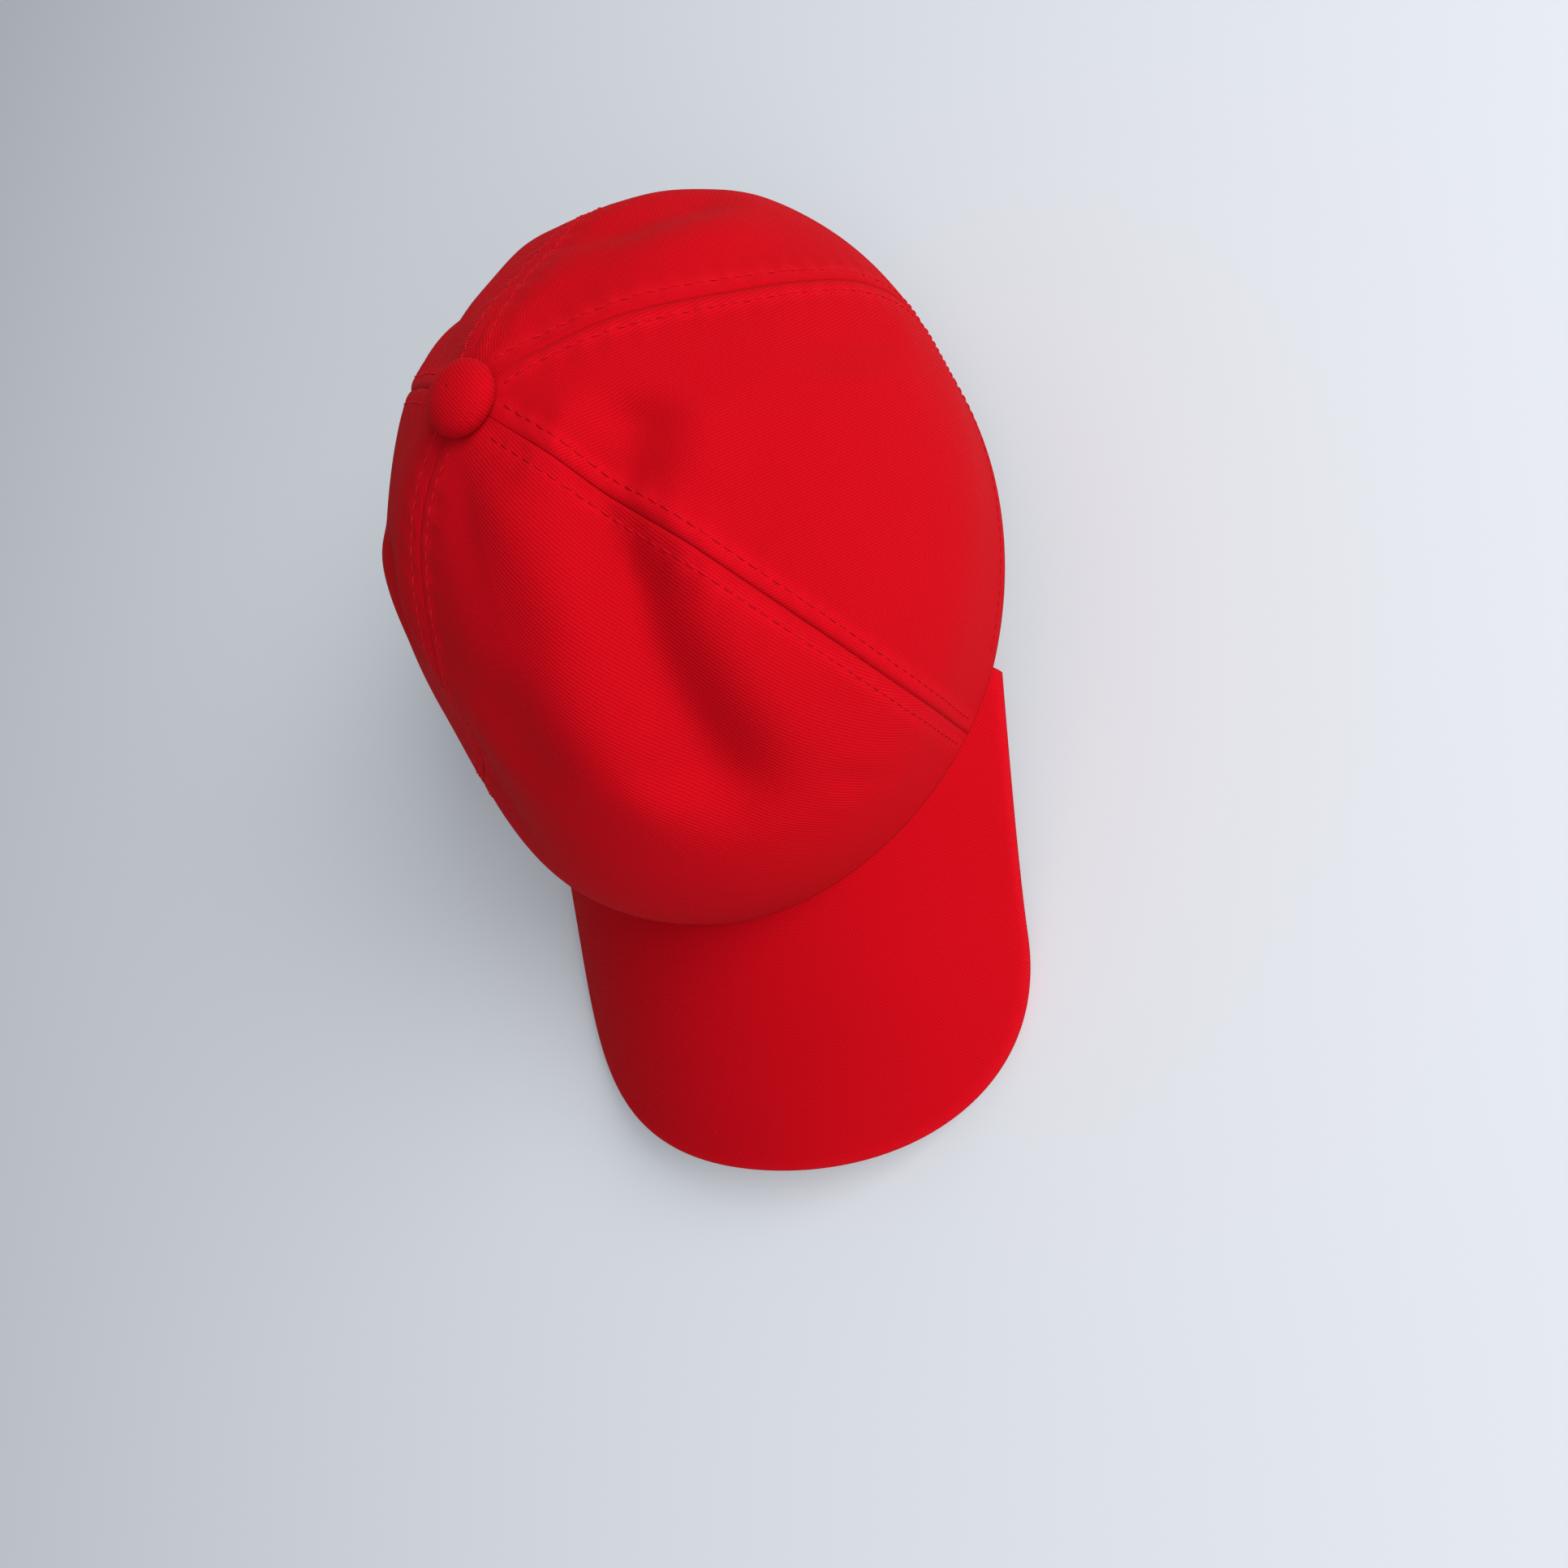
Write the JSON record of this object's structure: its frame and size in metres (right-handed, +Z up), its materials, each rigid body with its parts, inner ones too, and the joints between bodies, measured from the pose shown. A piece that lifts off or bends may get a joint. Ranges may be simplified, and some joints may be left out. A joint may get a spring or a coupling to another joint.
{
  "type": "baseball cap",
  "caption": "Soft unstructured cotton cap with a wide front panel, a curved stiffened visor, a covered top button, and an adjustable back strap with a hinged clamp buckle.",
  "frame": {"origin": "middle of the head opening, level with the rim, where the wearer's head enters", "axes": "+Z up through the button, -Y out through the visor, +X towards the wearer's left"},
  "size_m": [0.173, 0.2844, 0.1566],
  "materials": {
    "cap_cloth": "brushed cotton twill",
    "tape_cloth": "plain woven tape",
    "strap_cloth": "folded cotton twill",
    "sweatband_cloth": "folded cotton twill",
    "board": "moulded sheet",
    "buckle_metal": "satin nickel",
    "button_metal": "pressed"
  },
  "bodies": {
    "cap": {"front_panel": "cap_cloth", "side_panel_left": "cap_cloth", "side_panel_right": "cap_cloth", "back_panel_left": "cap_cloth", "back_panel_right": "cap_cloth", "seam_tape_front_left": "tape_cloth", "seam_tape_front_right": "tape_cloth", "seam_tape_back_left": "tape_cloth", "seam_tape_back_right": "tape_cloth", "seam_tape_back_centre": "tape_cloth", "arch_binding": "tape_cloth", "sweatband": "sweatband_cloth", "visor_board": "board", "visor_top_cloth": "cap_cloth", "visor_under_cloth": "cap_cloth", "button_cover": "cap_cloth", "button_shell": "button_metal", "button_post": "button_metal", "button_washer": "button_metal", "buckle_tab": "strap_cloth", "buckle_frame": "buckle_metal", "buckle_pin": "buckle_metal"},
    "strap": {"strap": "strap_cloth"},
    "clamp": {"buckle_clamp": "buckle_metal"}
  },
  "joints": [
    {"name": "strap_slide", "type": "hinge", "parent": "cap", "child": "strap", "pos_m": [0, 0.0315, 0.013], "axis": [0, 0, -1], "range_deg": [-6, 12]},
    {"name": "clamp_flip", "type": "hinge", "parent": "cap", "child": "clamp", "pos_m": [0.02089, 0.10308, 0.013], "axis": [0, 0, 1], "range_deg": [0, 110]}
  ]
}
